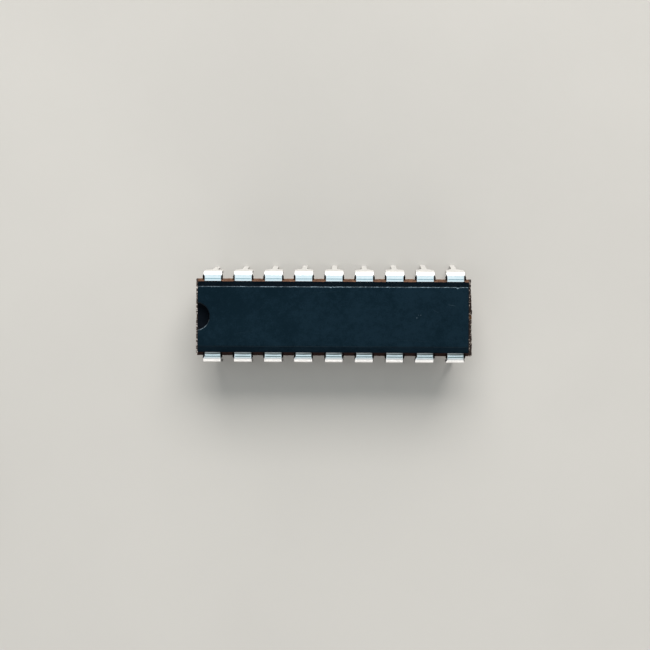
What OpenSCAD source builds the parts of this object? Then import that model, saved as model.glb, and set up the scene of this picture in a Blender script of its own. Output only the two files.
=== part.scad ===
// Plastic dual-in-line package with eighteen leads, built as it comes apart:
// the moulded body, the stamped leads, the die paddle, the die, its bonding
// layer and the bond wires.
//
// Millimetres. +Z up, Z = 0 at the plane the lead tips stand on. The origin is
// under the middle of the body. +X runs along the body, away from the notched
// end, and +Y towards the row of leads 10 to 18.

/* [Moulded body] */
// Length over the parting-line ledge
body_l = 23.1; // [22.8:0.05:23.4]
// Width over the parting-line ledge
body_w = 6.40; // [6.25:0.05:6.5]
// Thickness from underside to top face
body_h = 3.30; // [3.2:0.05:3.5]
// How far the ledge stands out of the long walls
ledge_side = 0.27; // [0.15:0.01:0.3]
// How far the ledge stands out of the end walls
ledge_end = 0.12; // [0.08:0.01:0.2]
// How far each long wall leans in by the top face
draft_side = 0.45; // [0.2:0.01:0.6]
// How far each end wall leans in by the top face
draft_end = 0.23; // [0.1:0.01:0.5]
// Radius of the half-round notch at the end of lead 1
notch_r = 1.15; // [0.8:0.025:1.3]
// Depth of the notch below the top face
notch_d = 0.95; // [0.5:0.05:1.1]
// How far the notch's centre lies inside the end of the body
notch_in = 0.10; // [0:0.05:0.3]

/* [Leads] */
// Distance between neighbouring leads of a row
pitch = 2.54; // [2.5:0.01:2.56]
// Thickness of the lead frame
lead_t = 0.254; // [0.2:0.002:0.3]
// Outer width over the two rows at the bends
span = 7.62; // [7.55:0.01:7.9]
// Width of a lead where it leaves the body
root_w = 1.46; // [1.3:0.01:1.5]
// Width of a lead from the bend to the seating shoulder
wide_w = 1.55; // [1.5:0.01:1.65]
// Width of the narrow part that goes into the board
pin_w = 0.46; // [0.4:0.01:0.55]
// Length of the narrow part below the seating shoulder
pin_l = 3.30; // [2.9:0.05:3.6]
// Height over which a lead narrows, above the seating shoulder
taper_h = 0.70; // [0.2:0.05:1.0]
// Clearance of the body's underside above the seating shoulder
standoff = 0.51; // [0.4:0.01:0.8]
// Radius inside the bend
bend_r = 0.10; // [0.08:0.01:0.16]
// Outward lean of leads 1 to 9, in degrees
lean_front = 1.0; // [0:0.5:4]
// Outward lean of the middle lead of leads 10 to 18, in degrees
lean_back = 7.5; // [3:0.5:8]

/* [Inside] */
// Length of the die along the body
die_l = 2.6; // [2.4:0.1:2.8]
// Width of the die across the body
die_w = 2.1; // [2.0:0.1:2.3]
// Thickness of the die
die_t = 0.36; // [0.25:0.01:0.4]
// Thickness of the bonding layer under the die
attach_t = 0.025; // [0.015:0.005:0.05]
// Length of the paddle
paddle_l = 4.6; // [4.2:0.1:4.8]
// Width of the paddle
paddle_w = 3.0; // [2.8:0.1:3.1]
// How far the paddle lies below the lead fingers
downset = 0.20; // [0.1:0.01:0.25]
// Width of the tie bars that hold the paddle
tie_w = 0.34; // [0.25:0.01:0.4]
// Thickness of a bond wire
wire_d = 0.033; // [0.025:0.001:0.05]

/* [Hidden] */
$fn = 48;

per_row = 9;
mid = (per_row + 1) / 2;

// Levels above the plane of the tips
z_seat = pin_l;
z_under = z_seat + standoff;
z_top = z_under + body_h;
z_lf0 = z_under + (body_h - lead_t) / 2;
z_lf1 = z_lf0 + lead_t;

// Half sizes of the body at the ledge, at the foot of the walls and at the faces
lf = body_l / 2;
lw = lf - ledge_end;
lt = lw - draft_end;
wf = body_w / 2;
ww = wf - ledge_side;
wt = ww - draft_side;

// The bend of a lead
bend_o = bend_r + lead_t;
y_bend = span / 2 - bend_o;
z_bend = z_lf0 - bend_r;
y_root = 2.3;

// Each back lead leans a little differently: degrees added, from the notched end
lean_step = [-2, -1, -0.5, 0, 0, 0, 0.5, 1, 1];

// Half of the fan of fingers, from the end lead to the middle one: the points a
// finger runs through, and its bond pad on the die
arm_w = 0.40;
arms = [
    [[10.16, 2.45], [8.70, 0.60], [2.75, 0.60]],
    [[7.62, 2.45], [6.60, 1.25], [2.75, 1.25]],
    [[5.08, 2.45], [4.30, 1.85], [2.75, 1.85]],
    [[2.54, 2.45], [1.20, 1.85]],
    [[0, 2.50], [0, 1.85]]
];
pads = [[1.16, 0.28], [1.16, 0.66], [0.86, 0.92], [0.43, 0.92], [0, 0.92]];

// Levels of the paddle, the bonding layer and the die
z_pad1 = z_lf1 - downset;
z_att1 = z_pad1 + attach_t;
z_die1 = z_att1 + die_t;

// A bond wire's rings: share of its span, height over the die, radius. The
// first three are the ball, and the last two lie on the finger.
wr = wire_d / 2;
wire_land = z_lf1 - z_die1 + wr * cos(30);
wire_rings = [
    [0, 0, 0.045], [0, 0.024, 0.045], [0, 0.05, wr], [0, 0.12, wr],
    [0.04, 0.185, wr], [0.12, 0.215, wr], [0.30, 0.19, wr],
    [0.60, 0.05, wr], [0.88, -0.11, wr], [1, wire_land, wr], [1.05, wire_land, wr]
];

// Lead i is the k-th of its row, counted from the notched end
function row_of(i) = i <= per_row ? -1 : 1;
function k_of(i) = i <= per_row ? i : 2 * per_row + 1 - i;
function lead_x(k) = (k - mid) * pitch;
function half(k) = min(k, per_row + 1 - k) - 1;
function side(k) = k < mid ? -1 : 1;
function arm_points(k) = [for (p = arms[half(k)]) [side(k) * p[0], p[1]]];
function last(v) = v[len(v) - 1];

// A flat strip of width w along the points p, with round corners
module strip(p, w) {
    for (i = [0 : len(p) - 2]) {
        d = p[i + 1] - p[i];
        translate(p[i]) rotate(atan2(d[1], d[0]))
            translate([0, -w / 2]) square([norm(d), w]);
        if (i > 0) translate(p[i]) circle(d = w);
    }
}

// The flat part of a back lead: its finger inside the body and its root
module finger(k) {
    translate([0, 0, z_lf0]) linear_extrude(lead_t) {
        translate([lead_x(k) - root_w / 2, y_root])
            square([root_w, y_bend - y_root]);
        strip(arm_points(k), arm_w);
    }
}

// The bend and the leg of a back lead, seen along the row
module leg_profile(lean) {
    translate([y_bend, z_bend]) {
        intersection() {
            difference() {
                circle(r = bend_o);
                circle(r = bend_r);
            }
            polygon([[0, 0], [2 * cos(lean), 2 * sin(lean)], [2, 2], [0, 2]]);
        }
        rotate(lean) translate([bend_r, -z_bend - 1]) square([lead_t, z_bend + 1]);
    }
}

// The outline of the bend and the leg, seen from outside the row
module leg_outline() {
    a = wide_w / 2;
    b = pin_w / 2;
    c = b - 0.08;
    polygon([
        [-a, z_lf1 + 1], [-a, z_seat + taper_h], [-b - 0.06, z_seat],
        [-b, z_seat - 0.10], [-b, 0.35], [-c, 0], [c, 0], [b, 0.35],
        [b, z_seat - 0.10], [b + 0.06, z_seat], [a, z_seat + taper_h], [a, z_lf1 + 1]
    ]);
}

module back_lead(k, lean) {
    finger(k);
    translate([lead_x(k), 0, 0]) intersection() {
        translate([-wide_w, 0, 0]) rotate([90, 0, 90])
            linear_extrude(2 * wide_w) leg_profile(lean);
        translate([0, 8, 0]) rotate([90, 0, 0]) linear_extrude(8) leg_outline();
    }
}

module lead(i) {
    color([0.80, 0.82, 0.83])
    if (row_of(i) > 0)
        back_lead(k_of(i), lean_back + lean_step[k_of(i) - 1]);
    else
        mirror([0, 1, 0]) back_lead(k_of(i), lean_front);
}

// The paddle, with a tie bar to each end of the body
module paddle_shape() {
    translate([-paddle_l / 2, -paddle_w / 2, z_pad1 - lead_t])
        cube([paddle_l, paddle_w, lead_t]);
    for (m = [0, 1]) mirror([m, 0, 0])
        translate([0, tie_w / 2, 0]) rotate([90, 0, 0]) linear_extrude(tie_w)
            polygon([
                [paddle_l / 2 - 0.3, z_pad1 - lead_t], [paddle_l / 2 + 0.4, z_pad1 - lead_t],
                [paddle_l / 2 + 0.8, z_lf0], [lf - 0.05, z_lf0], [lf - 0.05, z_lf1],
                [paddle_l / 2 + 0.7, z_lf1], [paddle_l / 2 + 0.3, z_pad1],
                [paddle_l / 2 - 0.3, z_pad1]
            ]);
}

module die_paddle() {
    color([0.78, 0.52, 0.36]) paddle_shape();
}

module attach_shape() {
    translate([-die_l / 2 - 0.05, -die_w / 2 - 0.05, z_pad1])
        cube([die_l + 0.1, die_w + 0.1, attach_t]);
}

module die_attach() {
    color([0.70, 0.70, 0.68]) attach_shape();
}

module die_shape() {
    translate([-die_l / 2, -die_w / 2, z_att1]) cube([die_l, die_w, die_t]);
}

module silicon_die() {
    color([0.32, 0.34, 0.38]) die_shape();
}

// A six-sided wire from its pad on the die to the finger of back lead k
module wire_shape(k) {
    a = [side(k) * pads[half(k)][0], pads[half(k)][1]];
    f = last(arm_points(k));
    g = arm_points(k)[len(arm_points(k)) - 2];
    b = f + 0.15 * (g - f) / norm(g - f);
    u = (b - a) / norm(b - a);
    n = len(wire_rings);
    c = [for (q = wire_rings) [norm(b - a) * q[0], q[1]]];
    dir = [for (i = [0 : n - 1])
        let (d = c[min(i + 1, n - 1)] - c[max(i - 1, 0)]) d / norm(d)];
    // ring i, corner j: out along the wire's upright plane, and sideways
    pts = [for (i = [0 : n - 1]) for (j = [0 : 5])
        let (t = i == 0 || i == 1 ? [0, 1] : i == n - 1 ? [1, 0] : dir[i],
             r = wire_rings[i][2],
             s = c[i][0] - r * sin(60 * j) * t[1],
             h = c[i][1] + r * sin(60 * j) * t[0],
             w = r * cos(60 * j))
        [a[0] + u[0] * s - u[1] * w, a[1] + u[1] * s + u[0] * w, z_die1 + h]];
    sides = [for (i = [0 : n - 2]) for (j = [0 : 5])
        [6 * i + j, 6 * i + (j + 1) % 6, 6 * i + 6 + (j + 1) % 6, 6 * i + 6 + j]];
    polyhedron(pts, concat([[5, 4, 3, 2, 1, 0]], sides,
        [[for (j = [0 : 5]) 6 * (n - 1) + j]]));
}

module row_wire(i) {
    if (row_of(i) > 0) wire_shape(k_of(i));
    else mirror([0, 1, 0]) wire_shape(k_of(i));
}

module bond_wire(i) {
    color([0.93, 0.74, 0.32]) row_wire(i);
}

// The drafted halves of the body with the ledge between them
module body_block() {
    intersection() {
        translate([-lf - 1, 0, 0]) rotate([90, 0, 90]) linear_extrude(body_l + 2)
            polygon([
                [-wt, z_under], [wt, z_under], [ww, z_lf0], [wf, z_lf0], [wf, z_lf1],
                [ww, z_lf1], [wt, z_top], [-wt, z_top], [-ww, z_lf1], [-wf, z_lf1],
                [-wf, z_lf0], [-ww, z_lf0]
            ]);
        translate([0, wf + 1, 0]) rotate([90, 0, 0]) linear_extrude(body_w + 2)
            polygon([
                [-lt, z_under], [lt, z_under], [lw, z_lf0], [lf, z_lf0], [lf, z_lf1],
                [lw, z_lf1], [lt, z_top], [-lt, z_top], [-lw, z_lf1], [-lf, z_lf1],
                [-lf, z_lf0], [-lw, z_lf0]
            ]);
    }
}

// Slivers of resin left along both sides of the roots of a back lead
module resin_sliver(k) {
    for (m = [-1, 1])
        translate([lead_x(k) + m * (root_w / 2 + 0.045) - 0.045, wf - 0.05, z_lf0])
            cube([0.09, y_bend - wf + 0.05, lead_t]);
}

module moulded_body() {
    color([0.08, 0.12, 0.14])
    difference() {
        union() {
            body_block();
            for (k = [1 : per_row]) {
                resin_sliver(k);
                mirror([0, 1, 0]) resin_sliver(k);
            }
            // broken gate beside the tie bar at the far end
            translate([lf - 0.02, 0.19, z_lf0]) cube([0.06, 0.50, lead_t]);
            translate([lf - 0.02, -0.48, z_lf0]) cube([0.05, 0.24, lead_t]);
        }
        translate([notch_in - lf, 0, z_top - notch_d]) cylinder(r = notch_r, h = notch_d + 1);
        for (k = [1 : per_row]) {
            finger(k);
            mirror([0, 1, 0]) finger(k);
        }
        paddle_shape();
        for (m = [-1, 1])
            translate([m * lf - 0.05, -tie_w / 2, z_lf0]) cube([0.10, tie_w, lead_t]);
        attach_shape();
        die_shape();
        for (i = [1 : 2 * per_row]) row_wire(i);
    }
}

moulded_body();
lead(1);  // lead_01
lead(2);  // lead_02
lead(3);  // lead_03
lead(4);  // lead_04
lead(5);  // lead_05
lead(6);  // lead_06
lead(7);  // lead_07
lead(8);  // lead_08
lead(9);  // lead_09
lead(10);  // lead_10
lead(11);  // lead_11
lead(12);  // lead_12
lead(13);  // lead_13
lead(14);  // lead_14
lead(15);  // lead_15
lead(16);  // lead_16
lead(17);  // lead_17
lead(18);  // lead_18
die_paddle();
die_attach();
silicon_die();
bond_wire(1);  // bond_wire_01
bond_wire(2);  // bond_wire_02
bond_wire(3);  // bond_wire_03
bond_wire(4);  // bond_wire_04
bond_wire(5);  // bond_wire_05
bond_wire(6);  // bond_wire_06
bond_wire(7);  // bond_wire_07
bond_wire(8);  // bond_wire_08
bond_wire(9);  // bond_wire_09
bond_wire(10);  // bond_wire_10
bond_wire(11);  // bond_wire_11
bond_wire(12);  // bond_wire_12
bond_wire(13);  // bond_wire_13
bond_wire(14);  // bond_wire_14
bond_wire(15);  // bond_wire_15
bond_wire(16);  // bond_wire_16
bond_wire(17);  // bond_wire_17
bond_wire(18);  // bond_wire_18
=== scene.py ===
"""Eighteen-lead plastic dual-in-line package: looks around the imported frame.

Lengths in the helpers are millimetres in the part's own frame and become metres when a mesh is made.
"""

import math

import bmesh
import bpy
import numpy as np
from mathutils import Matrix, Vector, noise


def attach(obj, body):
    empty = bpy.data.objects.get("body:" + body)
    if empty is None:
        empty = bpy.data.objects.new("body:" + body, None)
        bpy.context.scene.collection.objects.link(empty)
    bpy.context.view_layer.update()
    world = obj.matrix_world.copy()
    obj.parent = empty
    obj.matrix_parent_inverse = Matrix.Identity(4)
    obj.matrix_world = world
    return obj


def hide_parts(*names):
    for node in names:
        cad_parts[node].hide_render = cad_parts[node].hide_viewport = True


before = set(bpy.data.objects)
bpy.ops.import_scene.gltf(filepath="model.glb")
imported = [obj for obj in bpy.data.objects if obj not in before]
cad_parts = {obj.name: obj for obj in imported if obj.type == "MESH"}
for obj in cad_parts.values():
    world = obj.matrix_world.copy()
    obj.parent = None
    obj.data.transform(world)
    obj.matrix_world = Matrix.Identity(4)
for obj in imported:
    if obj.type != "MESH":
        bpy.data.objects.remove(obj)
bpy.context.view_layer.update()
MM = 0.001

# ---------------------------------------------------------------- sizes (mm)
PITCH, LEAD_T = 2.54, 0.254
Z_SEAT, Z_UNDER, Z_TOP = 3.30, 3.81, 7.11
Z0, Z1 = 5.333, 5.587
ZM = (Z0 + Z1) / 2
LF, LW, LT = 11.55, 11.43, 11.20
WF, WW, WT = 3.20, 2.93, 2.48
BEND_R = 0.10
BEND_O = BEND_R + LEAD_T
BEND_M = BEND_R + LEAD_T / 2
Y_BEND, Z_BEND = 3.81 - BEND_O, Z0 - BEND_R
Y_ROOT = 2.30
NOTCH_X, NOTCH_Y, NOTCH_R, NOTCH_D = -11.45, 0.0, 1.14, 0.95
PER_ROW, MID = 9, 5
LEAN_FRONT, LEAN_BACK = 1.0, 7.5
LEAN_STEP = [-2, -1, -0.5, 0, 0, 0, 0.5, 1, 1]
ARM_W = 0.40
ARMS = [
    [(10.16, 2.45), (8.70, 0.60), (2.75, 0.60)],
    [(7.62, 2.45), (6.60, 1.25), (2.75, 1.25)],
    [(5.08, 2.45), (4.30, 1.85), (2.75, 1.85)],
    [(2.54, 2.45), (1.20, 1.85)],
    [(0.0, 2.50), (0.0, 1.85)],
]
# Half width of each root, then how much wider its two sides are at the bend:
# the stubs that the trimming of the dam bar left. (towards -X, towards +X)
ROOT = {
    1: (0.668, 0.130, 0.020), 2: (0.721, 0.032, 0.018), 3: (0.715, 0.054, 0.006),
    4: (0.668, 0.143, 0.062), 5: (0.672, 0.075, 0.066), 6: (0.677, 0.118, 0.052),
    7: (0.698, 0.038, 0.004), 8: (0.680, 0.148, 0.044), 9: (0.684, 0.121, 0.073),
    18: (0.700, 0.083, 0.075), 17: (0.725, 0.045, 0.050), 16: (0.725, 0.058, 0.052),
    15: (0.715, 0.068, 0.066), 14: (0.705, 0.088, 0.078), 13: (0.720, 0.064, 0.060),
    12: (0.725, 0.072, 0.062), 11: (0.725, 0.058, 0.058), 10: (0.718, 0.072, 0.048),
}


def k_of(i):
    return i if i <= PER_ROW else 2 * PER_ROW + 1 - i


def lead_x(k):
    return (k - MID) * PITCH


def lean_of(i):
    return LEAN_FRONT if i <= PER_ROW else LEAN_BACK + LEAN_STEP[k_of(i) - 1]


def wob(x, y, z, scale, seed=0.0):
    """Smooth noise from -1 to 1, with features about 1/scale mm across."""
    return noise.noise(Vector((x * scale + seed, y * scale - 1.7 * seed, z * scale + 0.6 * seed)))


def fbm(x, y, z, scale, seed=0.0):
    return (wob(x, y, z, scale, seed) + 0.5 * wob(x, y, z, 2.1 * scale, seed + 7)
            + 0.25 * wob(x, y, z, 4.3 * scale, seed + 13)) / 1.4


def smooth(t):
    t = min(1.0, max(0.0, t))
    return t * t * (3 - 2 * t)


def new_object(name, verts, faces):
    """A mesh object from points in mm."""
    me = bpy.data.meshes.new(name)
    me.from_pydata([(x * MM, y * MM, z * MM) for x, y, z in verts], [], faces)
    me.update()
    ob = bpy.data.objects.new(name, me)
    bpy.context.scene.collection.objects.link(ob)
    return ob


def drop(*objects):
    for o in objects:
        bpy.data.objects.remove(o, do_unlink=True)


def boolean(ob, cutter, operation):
    """Applies one Boolean to ob, and returns how many faces it then has."""
    md = ob.modifiers.new("cut", "BOOLEAN")
    md.operation = operation
    md.solver = "MANIFOLD"
    md.object = cutter
    bpy.context.view_layer.update()
    dg = bpy.context.evaluated_depsgraph_get()
    made = bpy.data.meshes.new_from_object(ob.evaluated_get(dg))
    ob.modifiers.clear()
    old = ob.data
    ob.data = made
    bpy.data.meshes.remove(old)
    return len(made.polygons)


def tidy(ob, angle=32.0):
    """Merges doubled points, drops slivers and shades smooth with sharp creases."""
    bm = bmesh.new()
    bm.from_mesh(ob.data)
    bmesh.ops.remove_doubles(bm, verts=bm.verts, dist=2e-7)
    bmesh.ops.dissolve_degenerate(bm, dist=2e-7, edges=bm.edges)
    for f in bm.faces:
        f.smooth = True
    for e in bm.edges:
        if len(e.link_faces) == 2:
            e.smooth = e.calc_face_angle(0.0) < math.radians(angle)
    bm.to_mesh(ob.data)
    bm.free()
    ob.data.update()


# ---------------------------------------------------------------- moulded body
def fillet(foot, top, z_foot, z_flat, r, n):
    """Arc between a wall that leans in and the flat face over it, as (h, z)."""
    run, rise = foot - top, z_flat - z_foot
    nx, nz = rise / math.hypot(run, rise), run / math.hypot(run, rise)
    cz = z_flat - r
    ch = foot + (-r - (cz - z_foot) * nz) / nx
    a0 = math.atan2(nz, nx)
    return [(ch + r * math.cos(a0 + (math.pi / 2 - a0) * i / n),
             cz + r * math.sin(a0 + (math.pi / 2 - a0) * i / n)) for i in range(n + 1)]


def half_profile(foot, ledge, top):
    """From the middle of the ledge up to the top face, as (h, z, how far out on the ledge)."""
    lean = (foot - top) / (Z_TOP - Z1)
    c = 0.030
    mid = (ledge + foot) / 2
    p = [(ledge, ZM, 1.0), (ledge, Z1 - 0.07, 1.0), (ledge, Z1 - c, 1.0), (ledge - 0.3 * c, Z1 - 0.3 * c, 0.95),
         (ledge - c, Z1, 0.85), (mid, Z1, 0.4), (foot + c, Z1, 0.1), (foot + 0.25 * c, Z1 + 0.25 * c, 0.0)]
    arc = fillet(foot, top, Z1, Z_TOP, 0.075, 6)
    for t in (0.04, 0.12, 0.28, 0.46, 0.64, 0.80, 0.92):
        z = Z1 + t * (arc[0][1] - Z1)
        p.append((foot - lean * (z - Z1), z, 0.0))
    p += [(h, z, 0.0) for h, z in arc]
    end = arc[-1][0]
    p += [(end - 0.05, Z_TOP, 0.0), (end - 0.16, Z_TOP, 0.0)]
    return p


NICKS = [(-0.25, 1, 0.10, 0.045), (10.29, 1, 0.11, 0.06), (0.05, 1, 0.07, 0.03), (5.9, 1, 0.06, 0.02),
         (-7.1, 1, 0.05, 0.02), (-3.4, -1, 0.06, 0.02), (8.2, -1, 0.07, 0.025), (3.6, -1, 0.05, 0.02)]
CHIPS = [(-2.75, 0.30, 0.02), (-2.05, 0.22, 0.03), (-1.25, 0.12, 0.02), (-0.78, 0.15, 0.03), (0.95, 0.12, 0.02),
         (1.55, 0.2, 0.03), (2.15, 0.26, 0.04), (2.45, 0.3, 0.05), (2.8, 0.3, 0.04)]
CHIPS_L = [(-2.8, 0.15, 0.02), (-2.1, 0.2, 0.025), (-1.35, 0.1, 0.03), (-0.8, 0.16, 0.02), (-0.3, 0.12, 0.035),
           (0.55, 0.14, 0.025), (1.3, 0.2, 0.02), (2.45, 0.15, 0.02)]


def ledge_out(x, y, z, sx, sy):
    """How far the ledge's rim is moved outwards: mostly a little inwards, with chips and the gate's stubs."""
    n = fbm(x, y, 0.0, 4.0, 3.1)
    fine = wob(x, y, z, 16.0, 9.3)
    if abs(sy) > abs(sx):  # long sides, sheared between the leads
        return (0.055 if sy < 0 else -0.028) + 0.010 * n + 0.007 * fine
    low = smooth((ZM - z) / 0.1 + 0.5)
    if sx < 0:
        d = -0.006 + 0.008 * n + 0.009 * fine
        chips = CHIPS_L
    else:
        d = -0.018 + 0.010 * n + 0.009 * fine - 0.040 * smooth((y - 1.3) / 0.8) + 0.034 * smooth((-1.2 - y) / 0.8)
        chips = CHIPS
    for cy, w, depth in chips:
        t = abs(y - cy) / (w / 2)
        if t < 1.3:
            d -= depth * smooth(1.3 - t) * (0.45 + 0.55 * (low if (int(cy * 10) % 2) else 1 - low))
    if sx > 0:  # the broken gate beside the tie bar
        for y0, y1, top in ((0.22, 0.69, 0.034), (-0.48, -0.26, 0.012)):
            g = smooth((y - y0 + 0.02) / 0.07) * smooth((y1 + 0.02 - y) / 0.14)
            d += g * (top + 0.008 * fine - d)
    return min(d, -0.003) if sx < 0 else min(d, 0.040)


def end_shift(x, z):
    """The upper half of the mould sat a little nearer the notched end than the lower half."""
    up = min(1.0, max(0.0, (z - Z1) / (Z_TOP - Z1)))
    down = min(1.0, max(0.0, (Z0 - z) / (Z0 - Z_UNDER)))
    return -0.09 * up * smooth((-9.3 - x) / 1.5) - (0.045 * (1 - down) + 0.035 * up) * smooth((x - 9.3) / 1.5)


def body_shell():
    up_s = half_profile(WW, WF, WT)
    up_e = half_profile(LW, LF, LT)
    levels = []
    for s, e in list(zip(up_s, up_e))[:0:-1]:
        levels.append((s[0], 2 * ZM - s[1], e[0], 2 * ZM - e[1], s[2]))
    for s, e in zip(up_s, up_e):
        levels.append((s[0], s[1], e[0], e[1], s[2]))
    nx, ny, nc, rc = 380, 104, 4, 0.10
    verts, rings = [], []
    for hs, zs, he, ze, out in levels:
        r = rc
        pts = []
        cx, cy = he - r, hs - r
        for i in range(ny + 1):
            pts.append((he, -cy + 2 * cy * i / ny, ze, 1, 0))
        for i in range(1, nc):
            a = math.pi / 2 * i / nc
            pts.append((cx + r * math.cos(a), cy + r * math.sin(a), ze + (zs - ze) * i / nc, math.cos(a), math.sin(a)))
        for i in range(nx + 1):
            pts.append((cx - 2 * cx * i / nx, hs, zs, 0, 1))
        for i in range(1, nc):
            a = math.pi / 2 * (1 + i / nc)
            pts.append((-cx + r * math.cos(a), cy + r * math.sin(a), zs + (ze - zs) * i / nc, math.cos(a), math.sin(a)))
        for i in range(ny + 1):
            pts.append((-he, cy - 2 * cy * i / ny, ze, -1, 0))
        for i in range(1, nc):
            a = math.pi / 2 * (2 + i / nc)
            pts.append((-cx + r * math.cos(a), -cy + r * math.sin(a), ze + (zs - ze) * i / nc, math.cos(a), math.sin(a)))
        for i in range(nx + 1):
            pts.append((-cx + 2 * cx * i / nx, -hs, zs, 0, -1))
        for i in range(1, nc):
            a = math.pi / 2 * (3 + i / nc)
            pts.append((cx + r * math.cos(a), -cy + r * math.sin(a), zs + (ze - zs) * i / nc, math.cos(a), math.sin(a)))
        ring = []
        for x, y, z, sx, sy in pts:
            if out > 0:
                d = out * ledge_out(x, y, z, sx, sy)
                x, y = x + sx * d, y + sy * d
                z += 0.005 * out * fbm(x, y, z, 2.5, 5.0) * (1 if z > ZM else -1) - 0.004 * out * (1 if z > ZM else -1)
            else:
                flat = abs(z - Z_TOP) < 0.09 or abs(z - Z_UNDER) < 0.09
                if not flat and abs(z - ZM) > 0.15:  # walls: the faint waviness of a moulding
                    d = 0.004 * fbm(x, y, z, 0.8, 21.0)
                    x, y = x + sx * d, y + sy * d
                if abs(z - Z_TOP) < 0.078 and (abs(y) > WT - 0.14 or abs(x) > LT - 0.14):
                    edge = smooth(1 - max(0.0, WT - 0.02 - abs(y)) / 0.12) if abs(sy) > 0.5 else 1.0
                    d = -0.010 * edge * (0.5 + 0.35 * fbm(x, y, 0.0, 1.1, 31.0) + 0.35 * fbm(x, y, 0.0, 6.0, 37.0))
                    x, y = x + sx * d, y + sy * d
                    for px, py, w, depth in NICKS:
                        if sy * py > 0.5 and abs(x - px) < 2.5 * w:
                            g = math.exp(-((x - px) / w) ** 2) * smooth(1.2 - (WT + 0.02 - abs(y)) / 0.16)
                            y -= sy * 0.7 * depth * g
                            z -= 0.6 * depth * g
            if z > ZM and out < 1:
                foot = (1 - out) * (1 - min(1.0, max(0.0, (z - Z1) / (Z_TOP - Z1))))
                x -= 0.11 * foot * smooth((x - 10.9) / 0.3)
                y += 0.022 * foot * smooth((y - 2.3) / 0.2) - 0.052 * foot * smooth((-y - 2.3) / 0.2)
            x += end_shift(x, z)
            ring.append(len(verts))
            verts.append((x, y, z))
        rings.append(ring)
    n = len(rings[0])
    faces = [list(reversed(rings[0])), list(rings[-1])]
    for a, b in zip(rings, rings[1:]):
        for i in range(n):
            j = (i + 1) % n
            faces.append([a[i], a[j], b[j], b[i]])
    return new_object("moulding", verts, faces)


def lathe(cx, cy, profile, n):
    """A closed turned solid; profile is (r, z) from the bottom axis to the top axis."""
    verts, faces, rows = [], [], []
    for r, z in profile:
        if r < 1e-6:
            rows.append([len(verts)])
            verts.append((cx, cy, z))
        else:
            rows.append(list(range(len(verts), len(verts) + n)))
            verts += [(cx + r * math.cos(2 * math.pi * i / n), cy + r * math.sin(2 * math.pi * i / n), z) for i in range(n)]
    for a, b in zip(rows, rows[1:]):
        for i in range(n):
            j = (i + 1) % n
            if len(a) == 1:
                faces.append([a[0], b[j], b[i]])
            elif len(b) == 1:
                faces.append([a[i], a[j], b[0]])
            else:
                faces.append([a[i], a[j], b[j], b[i]])
    return new_object("turned", verts, faces)


def notch_cutter():
    zf = Z_TOP - NOTCH_D
    rf, rr = 0.09, 0.08
    wall = NOTCH_R - 0.045
    prof = [(0.0, zf), (0.5, zf), (wall - rf - 0.1, zf), (wall - rf, zf)]
    prof += [(wall - rf + rf * math.sin(a), zf + rf - rf * math.cos(a)) for a in (math.radians(15 * i) for i in range(1, 7))]
    for t in (0.3, 0.6):
        prof.append((wall + (NOTCH_R - wall) * t, zf + rf + (NOTCH_D - rf - rr) * t))
    prof += [(NOTCH_R + rr - rr * math.cos(a), Z_TOP - rr + rr * math.sin(a)) for a in (math.radians(15 * i) for i in range(0, 7))]
    prof += [(NOTCH_R + rr, Z_TOP + 0.3), (0.0, Z_TOP + 0.3)]
    return lathe(NOTCH_X, NOTCH_Y, prof, 128)


def boxes(name, rows):
    """Separate closed boxes in one mesh; each row is (x0, x1, y0, y1, z0, z1)."""
    verts, faces = [], []
    for x0, x1, y0, y1, z0, z1 in rows:
        b = len(verts)
        verts += [(x, y, z) for z in (z0, z1) for y in (y0, y1) for x in (x0, x1)]
        faces += [[b + q for q in f] for f in ((0, 2, 3, 1), (4, 5, 7, 6), (0, 1, 5, 4), (2, 6, 7, 3), (0, 4, 6, 2), (1, 3, 7, 5))]
    return new_object(name, verts, faces)


def reach(i, side, y):
    """Half width of lead i at distance y from the body's middle, on one side (-1 or 1)."""
    hw, left, right = ROOT[i]
    if i > PER_ROW:
        grow = 0.1 * smooth((y - 3.20) / 0.20) + 0.9 * smooth((y - (3.37 if i % 3 else 3.33)) / 0.20)
    else:
        grow = smooth((y - (3.50 if i == PER_ROW else 3.33)) / 0.20)
    return hw + (left if side < 0 else right) * grow


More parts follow.
